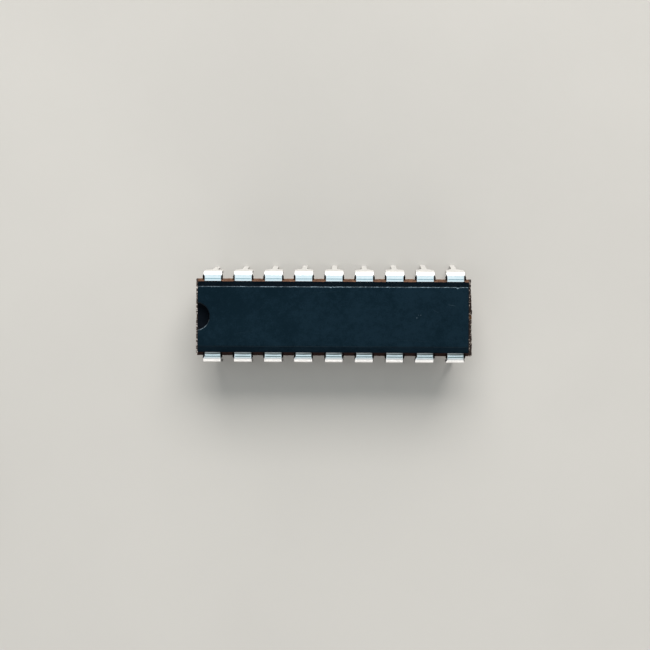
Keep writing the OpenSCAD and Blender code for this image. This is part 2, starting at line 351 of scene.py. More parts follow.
def slivers():
    """The thin fins of resin that stand beside each root, outside the ledge."""
    verts, faces = [], []
    for i in range(1, 2 * PER_ROW + 1):
        row = -1 if i <= PER_ROW else 1
        x0 = lead_x(k_of(i))
        for side in (-1, 1):
            seed = 3.7 * i + side
            y_end = 3.50 + 0.03 * wob(seed, 0.3, 0.1, 1.0)
            w0 = 0.128 + 0.024 * wob(seed, 2.3, 0.1, 1.0)
            ys = [3.06, 3.16, 3.24, 3.30, 3.36, 3.41, y_end]
            base = len(verts)
            for n, y in enumerate(ys):
                t = n / (len(ys) - 1)
                w = w0 * (1 - 0.70 * smooth((t - 0.70) / 0.30)) + 0.012 * wob(seed, y * 6, 0, 1.0)
                w = max(0.016, w)
                a = x0 + side * (reach(i, side, y) + 0.004)
                b = a + side * w
                dz = 0.012 + 0.02 * t + 0.014 * wob(seed, y * 5, 4.0, 1.0)
                dl = 0.010 + 0.03 * t + 0.014 * wob(seed, y * 5, 8.0, 1.0)
                ring = [(a, Z0 + dl), (b, Z0 + dl + 0.012), (b, Z1 - dz - 0.012), (a, Z1 - dz)]
                verts += [(p[0], row * y, p[1]) for p in ring]
            flip = side * row < 0
            quads = []
            for n in range(len(ys) - 1):
                for c in range(4):
                    d = (c + 1) % 4
                    quads.append([base + 4 * n + c, base + 4 * n + d, base + 4 * n + 4 + d, base + 4 * n + 4 + c])
            quads.append([base + 3, base + 2, base + 1, base])
            e = base + 4 * (len(ys) - 1)
            quads.append([e, e + 1, e + 2, e + 3])
            faces += [q if flip else q[::-1] for q in quads]
    ob = new_object("slivers", verts, faces)
    bm = bmesh.new()
    bm.from_mesh(ob.data)
    bmesh.ops.recalc_face_normals(bm, faces=bm.faces)
    bm.to_mesh(ob.data)
    bm.free()
    return ob


def finger_outline(k):
    """Outline of the flat finger of back lead k, as one closed polygon, counter-clockwise."""
    pts = [((-1 if k < MID else 1) * x, y) for x, y in ARMS[min(k, PER_ROW + 1 - k) - 1]]
    h = ARM_W / 2
    left, right = [], []
    for n, (x, y) in enumerate(pts):
        d = [(pts[m + 1][0] - pts[m][0], pts[m + 1][1] - pts[m][1]) for m in (n - 1, n) if 0 <= m < len(pts) - 1]
        d = [(a / math.hypot(a, b), b / math.hypot(a, b)) for a, b in d]
        if len(d) == 1:
            nx, ny = -d[0][1], d[0][0]
        else:
            nx, ny = -(d[0][1] + d[1][1]), d[0][0] + d[1][0]
            s = 2.0 / (nx * nx + ny * ny)
            nx, ny = nx * s, ny * s
        left.append((x + h * nx, y + h * ny))
        right.append((x - h * nx, y - h * ny))
    loop = left + right[::-1]
    area = sum(a[0] * b[1] - a[1] * b[0] for a, b in zip(loop, loop[1:] + loop[:1]))
    return loop if area > 0 else loop[::-1]


def prism(name, loop, z0, z1, row=1):
    n = len(loop)
    verts = [(x, row * y, z0) for x, y in loop] + [(x, row * y, z1) for x, y in loop]
    faces = [list(range(n))[::-1], [n + i for i in range(n)]]
    faces += [[i, (i + 1) % n, n + (i + 1) % n, n + i] for i in range(n)]
    if row < 0:
        faces = [f[::-1] for f in faces]
    return new_object(name, verts, faces)


def cad_copy(*names):
    """A throwaway copy of some CAD nodes' meshes, to cut with."""
    bm = bmesh.new()
    for n in names:
        bm.from_mesh(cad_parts[n].data)
    bmesh.ops.remove_doubles(bm, verts=bm.verts, dist=1e-7)
    me = bpy.data.meshes.new("copy")
    bm.to_mesh(me)
    bm.free()
    ob = bpy.data.objects.new("copy", me)
    bpy.context.scene.collection.objects.link(ob)
    return ob


def make_body():
    body = body_shell()
    log = [len(body.data.polygons)]
    s = slivers()
    log.append(boolean(body, s, "UNION"))
    drop(s)
    g = 0.006
    slots = boxes("slots", [
        (lead_x(k) - ROOT[i][0] - g, lead_x(k) + ROOT[i][0] + g,
         *(sorted((row * (Y_ROOT - 0.002), row * (3.26 if row > 0 else 3.30)))), Z0 - 0.004, Z1 + 0.004)
        for i in range(1, 2 * PER_ROW + 1) for k in [k_of(i)] for row in [-1 if i <= PER_ROW else 1]])
    log.append(boolean(body, slots, "DIFFERENCE"))
    drop(slots)
    tie = boxes("tie", [(-LF - 0.2, -LF + 0.30, -0.176, 0.176, Z0 - 0.004, Z1 + 0.004),
                        (LF - 0.30, LF + 0.2, -0.176, 0.176, Z0 - 0.004, Z1 + 0.004)])
    log.append(boolean(body, tie, "DIFFERENCE"))
    drop(tie)
    n = notch_cutter()
    log.append(boolean(body, n, "DIFFERENCE"))
    drop(n)
    # the hollows that the frame, the die and the wires fill
    for k in range(1, PER_ROW + 1):
        for row in (1, -1):
            f = prism("finger", finger_outline(k), Z0, Z1, row)
            boolean(body, f, "DIFFERENCE")
            drop(f)
    log.append(len(body.data.polygons))
    for names in (["die_paddle"], ["die_attach"], ["silicon_die"],
                  ["bond_wire_%02d" % i for i in range(1, 19)]):
        c = cad_copy(*names)
        log.append(boolean(body, c, "DIFFERENCE"))
        drop(c)
    print("body faces", log)
    tidy(body)
    body.name = body.data.name = "epoxy_body"
    return body


# ---------------------------------------------------------------- leads
def section(al, ar, t, rt, rb):
    """Rounded rectangle of one lead: (across, out), counter-clockwise."""
    h = t / 2
    p = []
    p += [(-al + rb + (al + ar - 2 * rb) * i / 8, -h) for i in range(9)]
    p += [(ar - rb + rb * math.sin(a), -h + rb - rb * math.cos(a)) for a in (math.radians(30 * i) for i in (1, 2, 3))]
    p += [(ar, -h + rb + (2 * h - rb - rt) * i / 3) for i in (1, 2, 3)]
    p += [(ar - rt + rt * math.cos(a), h - rt + rt * math.sin(a)) for a in (math.radians(22.5 * i) for i in (1, 2, 3, 4))]
    p += [(ar - rt - (al + ar - 2 * rt) * i / 12, h) for i in range(1, 13)]
    p += [(-al + rt - rt * math.sin(a), h - rt + rt * math.cos(a)) for a in (math.radians(22.5 * i) for i in (1, 2, 3, 4))]
    p += [(-al, h - rt - (2 * h - rb - rt) * i / 3) for i in (1, 2, 3)]
    p += [(-al + rb - rb * math.cos(a), -h + rb - rb * math.sin(a)) for a in (math.radians(30 * i) for i in (1, 2))]
    return p


def make_lead(i):
    k, row = k_of(i), (-1 if i <= PER_ROW else 1)
    lean = math.radians(lean_of(i))
    seed = 11.3 * i
    x0 = lead_x(k)
    stations = []  # (y, z, ty, tz, al, ar, t, rt, rb, sink, level)
    groove = 3.157 if row > 0 else 3.338
    deep = 0.0025 if row > 0 else 0.004
    ys = [Y_ROOT, 2.6, 2.90, 2.955, 2.975, 3.02, 3.06, 3.10, 3.13, 3.145, 3.157, 3.169, 3.185, 3.21, 3.24, 3.265,
          3.295, 3.312, 3.325, 3.338, 3.36, 3.40, 3.43, Y_BEND]
    for y in ys:
        sink = deep * math.exp(-((y - groove) / 0.014) ** 2)
        rt = 0.035 if y > 3.0 else 0.020
        if y < 3.0:
            sink += 0.0
        stations.append((y, ZM, 1.0, 0.0, reach(i, -1, y), reach(i, 1, y), LEAD_T, rt, 0.02, sink, None))
    n = 12
    for j in range(1, n + 1):
        a = math.pi / 2 - (math.pi / 2 - lean) * j / n
        arc = BEND_M * (math.pi / 2 - a)
        y = Y_BEND + arc
        al, ar = reach(i, -1, y), reach(i, 1, y)
        thin = LEAD_T - 0.006 * math.sin(math.pi * j / n)
        stations.append((Y_BEND + BEND_M * math.cos(a), Z_BEND + BEND_M * math.sin(a), math.sin(a), -math.cos(a),
                         al, ar, thin, 0.040, 0.022, 0.0, None))
    yl, zl = stations[-1][0], stations[-1][1]
    ty, tz = math.sin(lean), -math.cos(lean)
    al0, ar0 = stations[-1][4], stations[-1][5]
    legs = []
    for z in (5.20, 5.12, 5.02, 4.90, 4.75, 4.60, 4.45, 4.32, 4.20, 4.10, 4.04):
        legs.append((z, 0.772, 0.040, LEAD_T))
    legs += [(4.00, 0.762, 0.040, LEAD_T), (3.96, 0.742, 0.040, LEAD_T), (3.91, 0.712, 0.040, LEAD_T),
             (3.80, 0.636, 0.040, LEAD_T), (3.65, 0.532, 0.040, LEAD_T), (3.50, 0.428, 0.040, LEAD_T),
             (3.40, 0.360, 0.040, LEAD_T), (3.34, 0.320, 0.040, LEAD_T), (3.29, 0.289, 0.040, LEAD_T),
             (3.25, 0.266, 0.040, LEAD_T), (3.21, 0.248, 0.040, LEAD_T), (3.17, 0.237, 0.040, LEAD_T),
             (3.10, 0.231, 0.040, LEAD_T), (2.8, 0.230, 0.040, LEAD_T), (2.4, 0.229, 0.040, LEAD_T),
             (2.0, 0.230, 0.040, LEAD_T), (1.6, 0.229, 0.040, LEAD_T), (1.2, 0.230, 0.040, LEAD_T),
             (0.8, 0.229, 0.040, LEAD_T), (0.50, 0.229, 0.040, LEAD_T), (0.42, 0.227, 0.040, LEAD_T),
             (0.36, 0.222, 0.040, 0.252), (0.30, 0.212, 0.042, 0.246), (0.22, 0.197, 0.044, 0.236),
             (0.14, 0.181, 0.046, 0.224), (0.08, 0.169, 0.048, 0.214), (0.04, 0.160, 0.050, 0.204),
             (0.015, 0.149, 0.050, 0.190), (0.0, 0.130, 0.050, 0.165)]
    for z, hw, rt, t in legs:
        u = (zl - z) / math.cos(lean)
        f = smooth((5.24 - z) / 0.9) if z > 4.3 else 1.0
        al, ar = al0 + (hw - al0) * f, ar0 + (hw - ar0) * f
        stations.append((yl + ty * u, z, ty, tz, al, ar, t, rt, 0.030 if hw < 0.5 else 0.024, 0.0, z))
    verts, rings, uv_s, uv_v = [], [], [], []
    s = 0.0
    for m, (y, z, ty_, tz_, al, ar, t, rt, rb, sink, level) in enumerate(stations):
        if m:
            s += math.hypot(y - stations[m - 1][0], z - stations[m - 1][1])
        ny, nz = -tz_, ty_  # outwards from the bend
        ring, run, last = [], 0.0, None
        for a, b in section(al, ar, t, rt, rb):
            if last is not None:
                run += math.hypot(a - last[0], b - last[1])
            last = (a, b)
            px, py, pz = x0 + a, y + ny * b, z + nz * b
            if level is not None:
                slide = (pz - level) / -tz_ * smooth((5.20 - level) / 0.3)
                if level < 4.9:
                    slide = (pz - level) / -tz_
                py, pz = py + ty_ * slide, pz + tz_ * slide
            live = smooth((py - 2.97) / 0.1) * smooth(pz / 0.06)
            side = 0.0
            if b > 0.4 * t:  # outer face: sink the tool mark, and a faint swell
                d = -sink * (0.85 + 0.25 * wob(px, seed, 1.0, 1.5)) + live * 0.0012 * fbm(0.35 * px, s, 0.0, 2.2, seed)
            else:
                d = live * 0.0020 * fbm(px, s, b, 3.0, seed + 5)
            if abs(b) < 0.45 * t and (abs(a + al) < 1e-6 or abs(a - ar) < 1e-6):  # sheared sides
                side = live * (0.004 * fbm(px, s, b * 2, 5.0, seed + 9) - 0.002)
            py, pz = py + ny * d, pz + nz * d
            px += side * (1 if a > 0 else -1)
            if row < 0:
                burr = 0.050 * smooth((y - 3.44) / 0.10) * smooth((z - 3.9) / 0.5)
                px += burr * (a / (ar if a > 0 else al)) * (0.5 - b / t)
            ring.append(len(verts))
            verts.append((px, row * py, max(0.0, pz)))
            uv_s.append(s)
            uv_v.append(run)
        rings.append(ring)
    c = len(rings[0])
    faces = [list(rings[0]), list(reversed(rings[-1]))]
    for a, b in zip(rings, rings[1:]):
        for q in range(c):
            w = (q + 1) % c
            faces.append([a[q], b[q], b[w], a[w]])
    if row < 0:
        faces = [f[::-1] for f in faces]
    ob = new_object("tinned_%02d" % i, verts, faces)
    layer = ob.data.uv_layers.new(name="along")
    end = {}
    for f in ob.data.polygons:
        for li in f.loop_indices:
            v = ob.data.loops[li].vertex_index
            vv = uv_v[v]
            if vv < 1e-9 and len(f.vertices) == 4 and any(uv_v[w] > 0.3 * max(uv_v) and (w % c) == c - 1 for w in f.vertices):
                vv = uv_v[v - v % c + c - 1] + 0.02
            layer.uv[li].vector = (uv_s[v], vv)
    return ob


# ---------------------------------------------------------------- materials
class Graph:
    """A material with a Principled shader and its procedural nodes. Coordinates are the object's, in mm."""

    def __init__(self, name, rough, metal=0.0, level=0.5, ior=1.5, tint=None):
        self.m = bpy.data.materials.new(name)
        self.m.use_nodes = True
        self.t = self.m.node_tree
        self.t.nodes.clear()
        out = self.t.nodes.new("ShaderNodeOutputMaterial")
        self.b = self.t.nodes.new("ShaderNodeBsdfPrincipled")
        self.t.links.new(self.b.outputs[0], out.inputs[0])
        self.b.inputs["Metallic"].default_value = metal
        self.b.inputs["Roughness"].default_value = rough
        self.b.inputs["Specular IOR Level"].default_value = level
        self.b.inputs["IOR"].default_value = ior
        if tint:
            self.b.inputs["Specular Tint"].default_value = (*tint, 1.0)
        tc = self.t.nodes.new("ShaderNodeTexCoord")
        self.p = self.map(tc.outputs["Object"], (1000, 1000, 1000))
        self.height = None

    def put(self, value, socket):
        if isinstance(value, bpy.types.NodeSocket):
            self.t.links.new(value, socket)
        else:
            socket.default_value = value

    def map(self, vec, scale, move=(0, 0, 0), turn=(0, 0, 0)):
        n = self.t.nodes.new("ShaderNodeMapping")
        n.inputs["Scale"].default_value = scale
        n.inputs["Location"].default_value = move
        n.inputs["Rotation"].default_value = turn
        self.t.links.new(vec, n.inputs["Vector"])
        return n.outputs[0]

    def noise(self, scale, detail=3.0, rough=0.5, vec=None, twist=0.0):
        n = self.t.nodes.new("ShaderNodeTexNoise")
        n.inputs["Scale"].default_value = scale
        n.inputs["Detail"].default_value = detail
        n.inputs["Roughness"].default_value = rough
        n.inputs["Distortion"].default_value = twist
        self.t.links.new(vec or self.p, n.inputs["Vector"])
        return n.outputs["Fac"]

    def cells(self, scale, vec=None, what="Distance", feature="F1", random=1.0):
        n = self.t.nodes.new("ShaderNodeTexVoronoi")
        n.feature = feature
        n.inputs["Scale"].default_value = scale
        n.inputs["Randomness"].default_value = random
        self.t.links.new(vec or self.p, n.inputs["Vector"])
        return n.outputs[what]

    def ramp(self, value, lo, hi, a=0.0, b=1.0, soft=True):
        n = self.t.nodes.new("ShaderNodeMapRange")
        n.interpolation_type = "SMOOTHSTEP" if soft else "LINEAR"
        self.put(value, n.inputs["Value"])
        for s, v in zip(("From Min", "From Max", "To Min", "To Max"), (lo, hi, a, b)):
            n.inputs[s].default_value = v
        return n.outputs[0]

    def math(self, op, a, b=0.0, clamp=False):
        n = self.t.nodes.new("ShaderNodeMath")
        n.operation = op
        n.use_clamp = clamp
        self.put(a, n.inputs[0])
        self.put(b, n.inputs[1])
        return n.outputs[0]

    def mix(self, f, a, b):
        n = self.t.nodes.new("ShaderNodeMix")
        n.data_type = "RGBA"
        self.put(f, n.inputs["Factor"])
        for v, s in ((a, n.inputs["A"]), (b, n.inputs["B"])):
            self.put(v if isinstance(v, bpy.types.NodeSocket) else (*v, 1.0), s)
        return n.outputs["Result"]

    def axis(self, which):
        n = self.t.nodes.new("ShaderNodeSeparateXYZ")
        self.t.links.new(self.p, n.inputs[0])
        return n.outputs[which]

    def normal(self, which):
        g = self.t.nodes.new("ShaderNodeNewGeometry")
        n = self.t.nodes.new("ShaderNodeSeparateXYZ")
        self.t.links.new(g.outputs["True Normal"], n.inputs[0])
        return n.outputs[which]

    def near(self, value, at, inner, outer):
        """1 where the value is within inner of at, falling to 0 at outer."""
        return self.ramp(self.math("ABSOLUTE", self.math("SUBTRACT", value, at)), inner, outer, 1.0, 0.0)

    def blend(self, factors):
        out = factors[0]
        for f in factors[1:]:
            out = self.math("MULTIPLY", out, f)
        return out

    def streak(self, a, b, width, waver=0.0):
        """1 on the line from a to b, seen from above (mm), and 0 off it."""
        d = (b[0] - a[0], b[1] - a[1])
        length = math.hypot(*d)
        turn = math.atan2(d[1], d[0])
        # into the line's own frame: along it and across it
        n = self.t.nodes.new("ShaderNodeMapping")
        n.vector_type = "TEXTURE"
        n.inputs["Location"].default_value = (a[0], a[1], 0)
        n.inputs["Rotation"].default_value = (0, 0, turn)
        self.t.links.new(self.p, n.inputs["Vector"])
        x = self.t.nodes.new("ShaderNodeSeparateXYZ")
        self.t.links.new(n.outputs[0], x.inputs[0])
        across = x.outputs["Y"]
        if waver:
            w = self.ramp(self.noise(1.6, 1.0), 0.3, 0.7, -waver, waver, soft=False)
            across = self.math("ADD", across, w)
        near = self.ramp(self.math("ABSOLUTE", across), 0.35 * width, width, 1.0, 0.0)
        start = self.ramp(x.outputs["X"], 0.0, 0.25 * length)
        stop = self.ramp(x.outputs["X"], 0.65 * length, length, 1.0, 0.0)
        return self.math("MULTIPLY", near, self.math("MULTIPLY", start, stop))

    def color(self, value):
        self.put(value if isinstance(value, bpy.types.NodeSocket) else (*value, 1.0), self.b.inputs["Base Color"])

    def rough(self, value):
        self.put(value, self.b.inputs["Roughness"])

    def bump(self, height, distance_mm, strength=1.0):
        n = self.t.nodes.new("ShaderNodeBump")
        n.inputs["Strength"].default_value = strength
        n.inputs["Distance"].default_value = distance_mm * MM
        self.t.links.new(height, n.inputs["Height"])
        if self.height:
            self.t.links.new(self.height, n.inputs["Normal"])
        self.height = n.outputs[0]
        self.t.links.new(self.height, self.b.inputs["Normal"])


def epoxy(name, dark, light, rough, level, marks=False, tint=(0.25, 0.70, 1.0), rear=1.0):
    """Black moulding compound: sand-textured tool finish with mineral filler showing through."""
    g = Graph(name, rough, level=level, tint=tint)
    cloud = g.noise(0.30, 3.0, 0.55)
    mottle = g.noise(2.2, 4.0, 0.62)
    grain = g.noise(9.0, 3.0, 0.65)
    tone = g.math("ADD", g.math("MULTIPLY", cloud, 0.32), g.math("MULTIPLY", mottle, 0.34))
    tone = g.math("ADD", tone, g.math("MULTIPLY", grain, 0.34))
    tone = g.math("ADD", tone, g.ramp(g.axis("X"), -9.0, 11.0, -0.025, 0.040))
    c = g.mix(g.ramp(tone, 0.42, 0.59), dark, light)
    # painted shade: the long wall of leads 10 to 18 is painted darker than the same resin elsewhere
    if rear < 1.0:  # the long wall of leads 10 to 18 is darker
        away = g.math("MULTIPLY", g.ramp(g.axis("Y"), 2.3, 2.45), 1.0 - rear)
        c = g.mix(away, c, (0.0, 0.0005, 0.0012))
    # grains of filler at the surface
    pick = g.cells(7.0, what="Color")
    one = g.t.nodes.new("ShaderNodeSeparateColor")
    g.t.links.new(pick, one.inputs[0])
    speck = g.math("MULTIPLY", g.ramp(g.cells(7.0), 0.10, 0.22, 1.0, 0.0), g.ramp(one.outputs[0], 0.80, 0.92))
    c = g.mix(g.math("MULTIPLY", speck, 0.22), c, tuple(2.6 * v + 0.006 for v in light))
    r = g.ramp(mottle, 0.3, 0.7, rough - 0.02, rough + 0.04)
    if marks:
        lines = None
        for a, b, w, f, wv in (((9.38, 1.04), (10.12, 0.91), 0.022, 0.24, 0.0), ((8.15, 0.62), (8.75, 0.30), 0.020, 0.10, 0.0),
                               ((-8.4, -1.5), (-6.2, -1.1), 0.016, 0.06, 0.03), ((-2.6, 1.9), (1.4, 2.15), 0.016, 0.06, 0.03),
                               ((4.9, -1.9), (8.6, -2.05), 0.015, 0.06, 0.02), ((-6.3, 0.4), (-5.5, 1.3), 0.014, 0.06, 0.02),
                               ((6.80, -0.09), (6.92, -0.05), 0.062, 0.42, 0.0), ((7.13, 0.14), (7.24, 0.17), 0.058, 0.30, 0.0),
                               ((6.95, 0.15), (7.04, 0.17), 0.050, 0.26, 0.0), ((-4.55, 0.22), (-4.50, 0.24), 0.035, 0.10, 0.0)):
            m = g.math("MULTIPLY", g.streak(a, b, w, wv), f)
            lines = m if lines is None else g.math("MAXIMUM", lines, m)
        lines = g.math("MULTIPLY", lines, g.ramp(g.normal("Z"), 0.90, 0.97))
        lines = g.math("MULTIPLY", lines, g.ramp(g.axis("Z"), 6.9, 7.0))
        c = g.mix(lines, c, (0.10, 0.14, 0.17))
    g.color(c)
    g.rough(r)
    g.bump(g.noise(7.0, 3.0, 0.6), 0.008)
    g.bump(g.noise(24.0, 3.0, 0.7), 0.004)
    return g.m


def edge_highlight_finish(name, highlight_color):
    """The moulded corners, rubbed smoother than the faces, with a lighter colour in broken lines that is a painted
    highlight.
    """
    g = Graph(name, 0.3, level=0.6, tint=(0.62, 0.84, 1.0))
    wear_and_highlight = g.noise(2.7, 4.0, 0.60)
    fine = g.noise(11.0, 3.0, 0.6)
    t = g.math("ADD", g.math("MULTIPLY", wear_and_highlight, 0.72), g.math("MULTIPLY", fine, 0.28))
    g.color(g.mix(g.ramp(t, 0.47, 0.60), (0.003, 0.008, 0.012), highlight_color))
    g.rough(g.ramp(t, 0.42, 0.58, 0.55, 0.20))
    g.bump(fine, 0.004)
    return g.m


def flash_finish(name):
    """The thin ledge on the parting line: translucent brown resin with broken, lighter spots, painted much lighter at
    the rear and darker at the front.
    """
    g = Graph(name, 0.55, level=0.10)
    n = g.noise(3.2, 4.0, 0.65)
    fine = g.noise(13.0, 3.0, 0.6)
    t = g.math("ADD", g.math("MULTIPLY", n, 0.6), g.math("MULTIPLY", fine, 0.4))
    # painted shade on the front ledge and painted light on the rear ledge: one resin in a dark and a light copy
    front = g.mix(g.ramp(t, 0.38, 0.64), (0.0140, 0.0050, 0.0036), (0.034, 0.0125, 0.0085))
    rear = g.mix(g.ramp(t, 0.36, 0.66), (0.095, 0.048, 0.030), (0.230, 0.118, 0.070))
    pick = g.t.nodes.new("ShaderNodeSeparateColor")
    shake = g.t.nodes.new("ShaderNodeTexNoise")
    shake.inputs["Scale"].default_value = 14.0
    shake.inputs["Detail"].default_value = 2.0
    g.t.links.new(g.p, shake.inputs["Vector"])
    apart = g.t.nodes.new("ShaderNodeVectorMath")
    apart.operation = "MULTIPLY_ADD"
    apart.inputs[1].default_value = (0.16, 0.16, 0.16)
    g.t.links.new(shake.outputs["Color"], apart.inputs[0])
    g.t.links.new(g.p, apart.inputs[2])
    g.t.links.new(g.cells(8.0, apart.outputs[0], what="Color"), pick.inputs[0])
    near = g.ramp(g.cells(8.0, apart.outputs[0]), 0.34, 0.62, 1.0, 0.0)
    near = g.math("MULTIPLY", near, g.ramp(g.normal("Z"), 0.10, 0.50, 0.28, 1.0))
    left = g.mix(g.math("MULTIPLY", g.ramp(pick.outputs[0], 0.42, 0.54), near), (0.060, 0.041, 0.033), (0.78, 0.70, 0.65))
    right = g.mix(g.math("MULTIPLY", g.ramp(pick.outputs[1], 0.60, 0.70), near), (0.024, 0.0155, 0.0125), (0.36, 0.30, 0.26))
    c = g.mix(g.ramp(g.axis("Y"), 2.2, 2.9), front, rear)
    c = g.mix(g.ramp(g.axis("X"), -11.42, -11.35, 1.0, 0.0), c, left)
    c = g.mix(g.ramp(g.axis("X"), 11.21, 11.27), c, right)
    g.color(c)
    g.rough(g.ramp(fine, 0.3, 0.7, 0.45, 0.65))
    g.bump(t, 0.012)
    return g.m


def scuff_finish(name):
    """The foot of the end walls, crumbled where the frame was cropped off."""
    g = Graph(name, 0.85, level=0.010, tint=(0.25, 0.70, 1.0))
    n = g.noise(4.0, 4.0, 0.7)
    fine = g.noise(12.0, 4.0, 0.7)
    t = g.math("ADD", g.math("MULTIPLY", n, 0.5), g.math("MULTIPLY", fine, 0.5))
    high = g.math("ABSOLUTE", g.math("SUBTRACT", g.axis("Z"), ZM))
    t = g.math("SUBTRACT", t, g.ramp(high, 0.12, 0.62, -0.03, 0.20, soft=False))
    # the wall's blue colours: painted cool light over a black resin
    c = g.mix(g.ramp(g.noise(2.2, 4.0, 0.62), 0.42, 0.59), (0.0031, 0.0094, 0.0160), (0.0062, 0.0158, 0.0250))
    c = g.mix(g.ramp(t, 0.44, 0.56), c, (0.070, 0.062, 0.059))
    # a larger bite over the tie bar, at the far end
    side = g.math("ADD", g.axis("Y"), g.ramp(n, 0.3, 0.7, -0.10, 0.10, soft=False))
    bite = g.blend([g.near(side, -0.03, 0.13, 0.24), g.ramp(g.axis("X"), 11.15, 11.20), g.ramp(t, 0.22, 0.40), g.ramp(high, 0.18, 0.50, 1.0, 0.0)])
    c = g.mix(g.math("MULTIPLY", bite, g.ramp(fine, 0.30, 0.55, 0.45, 1.0)), c, (0.095, 0.070, 0.056))
    g.color(c)
    g.rough(g.ramp(fine, 0.3, 0.7, 0.75, 0.90))
    g.bump(t, 0.008)
    return g.m


def tin(name):
    """Tin-plated lead: satin metal with fine drawn streaks and clamp lines, darker patches on the front roots, painted
    shade near the body and on the sheared sides, painted highlights on the bends and a painted sheen on the rear legs.
    """
    g = Graph(name, 0.3, metal=1.0)
    uv = g.t.nodes.new("ShaderNodeUVMap")
    uv.uv_map = "along"
    drawn = g.noise(1.0, 3.0, 0.6, g.map(uv.outputs[0], (1.0, 15.0, 1.0)))
    rubs = g.noise(1.0, 3.0, 0.6, g.map(uv.outputs[0], (10.0, 0.5, 1.0), (3.1, 0, 0)))
    cloud = g.noise(1.6, 4.0, 0.6)
    crystal = g.noise(20.0, 3.0, 0.6)
    y = g.axis("Y")
    ay = g.math("ABSOLUTE", y)
    rear = g.ramp(y, -0.5, 0.5)
    ahead = g.math("SUBTRACT", 1.0, rear)
    roots = g.ramp(g.axis("Z"), 5.42, 5.50)
    shade = g.math("ADD", g.math("MULTIPLY", cloud, 0.60), g.math("MULTIPLY", crystal, 0.12))
    shade = g.math("ADD", shade, g.math("MULTIPLY", rubs, 0.28))
    c = g.mix(g.ramp(shade, 0.32, 0.68), (0.74, 0.77, 0.78), (0.83, 0.85, 0.855))
    # painted shade: darker towards the body, where the wall shades the roots
    c = g.mix(g.math("MULTIPLY", g.ramp(ay, 3.02, 3.42, 1.0, 0.0, soft=False), roots), c, (0.68, 0.72, 0.74))
    # lines that the tool which crops the dam bars pressed into the roots, and a band of painted shade on the rear leads
    # just before the bend
    waver = g.ramp(g.noise(0.8, 2.0), 0.3, 0.7, -0.006, 0.006, soft=False)
    at = g.math("ADD", ay, waver)
    count = g.math("DIVIDE", g.axis("X"), PITCH)
    across = g.math("MULTIPLY", g.math("ABSOLUTE", g.math("SUBTRACT", count, g.math("ROUND", count))), PITCH)
    inside = g.ramp(across, 0.60, 0.69, 1.0, 0.0)
    back_line = g.blend([g.near(at, 3.152, 0.014, 0.050), rear, roots])
    bend_start_shade = g.blend([g.near(at, 3.400, 0.008, 0.035), rear, roots])
    front_line = g.blend([g.near(at, 3.345, 0.032, 0.060), ahead, roots])
    c = g.mix(g.blend([back_line, inside, 0.97]), c, (0.21, 0.32, 0.36))
    c = g.mix(g.blend([bend_start_shade, inside, 0.35]), c, (0.34, 0.42, 0.44))
    c = g.mix(g.blend([front_line, inside, 0.92]), c, (0.090, 0.136, 0.134))
    # darker, duller patches over the front roots, next to the body
    front_patch_edge = g.math("ADD", at, g.ramp(rubs, 0.3, 0.7, -0.025, 0.025))
    front_root_patch = g.blend([g.ramp(front_patch_edge, 3.165, 3.215, 1.0, 0.0), ahead, roots, g.ramp(rubs, 0.32, 0.62, 1.0, 0.82)])
    c = g.mix(g.math("MULTIPLY", front_root_patch, 0.95), c, g.mix(g.ramp(rubs, 0.42, 0.60), (0.072, 0.090, 0.084), (0.29, 0.265, 0.25)))
    # the bends are painted near white, partly a matter plating and partly painted highlight; the front ones are warmer,
    # a painted warm reflection
    c = g.mix(g.math("MULTIPLY", g.ramp(ay, 3.42, 3.62), g.ramp(g.axis("Z"), 5.20, 5.30)), c, g.mix(ahead, (0.93, 0.93, 0.92), (0.88, 0.86, 0.84)))
    # below the bend, and on the sheared sides, duller again; the rear legs get a painted sheen that lightens them at
    # grazing angles
    weight = g.t.nodes.new("ShaderNodeLayerWeight")
    weight.inputs["Blend"].default_value = 0.5
    grazing_sheen = g.ramp(weight.outputs["Facing"], 0.62, 0.86)
    plate = g.mix(g.ramp(shade, 0.34, 0.66), (0.42, 0.425, 0.43), (0.51, 0.515, 0.52))
    c = g.mix(g.blend([g.ramp(g.axis("Z"), 5.12, 5.30, 1.0, 0.0), rear]), c, g.mix(grazing_sheen, plate, (0.86, 0.84, 0.81)))
    c = g.mix(g.blend([g.ramp(g.axis("Z"), 4.60, 5.20, 1.0, 0.0), ahead]), c, g.mix(g.ramp(shade, 0.34, 0.66), (0.60, 0.61, 0.62), (0.72, 0.73, 0.735)))
    # painted shade: faces turned sideways, the sheared sides, are painted dark
    cut = g.ramp(g.math("ABSOLUTE", g.normal("X")), 0.55, 0.80)
    c = g.mix(g.math("MULTIPLY", cut, 0.85), c, (0.15, 0.137, 0.125))
    g.color(c)
    # plating is closer to white paint than to a mirror where nothing has rubbed it
    legs = g.ramp(g.axis("Z"), 5.10, 5.36, 1.0, 0.0)
    bends = g.math("MULTIPLY", g.ramp(g.math("ADD", ay, g.math("MULTIPLY", ahead, 0.04)), 3.38, 3.58), g.ramp(g.axis("Z"), 5.22, 5.34))
    matte = g.math("MAXIMUM", g.blend([legs, g.math("ADD", g.math("MULTIPLY", ahead, 0.45), g.blend([rear, grazing_sheen, 0.8]))]), g.math("MULTIPLY", bends, 1.3))
    matte = g.math("MULTIPLY", matte, g.math("SUBTRACT", 1.0, cut))
    g.put(g.math("SUBTRACT", 1.0, g.math("MULTIPLY", matte, 0.48)), g.b.inputs["Metallic"])
    r = g.math("ADD", g.ramp(cloud, 0.3, 0.7, 0.25, 0.33), g.ramp(drawn, 0.3, 0.7, -0.02, 0.03))
    r = g.math("ADD", r, g.math("MULTIPLY", matte, 0.12))
    r = g.math("ADD", r, g.math("MULTIPLY", front_root_patch, 0.15))
    g.rough(r)
    g.bump(drawn, 0.0006)
    g.bump(rubs, 0.0006)
    return g.m


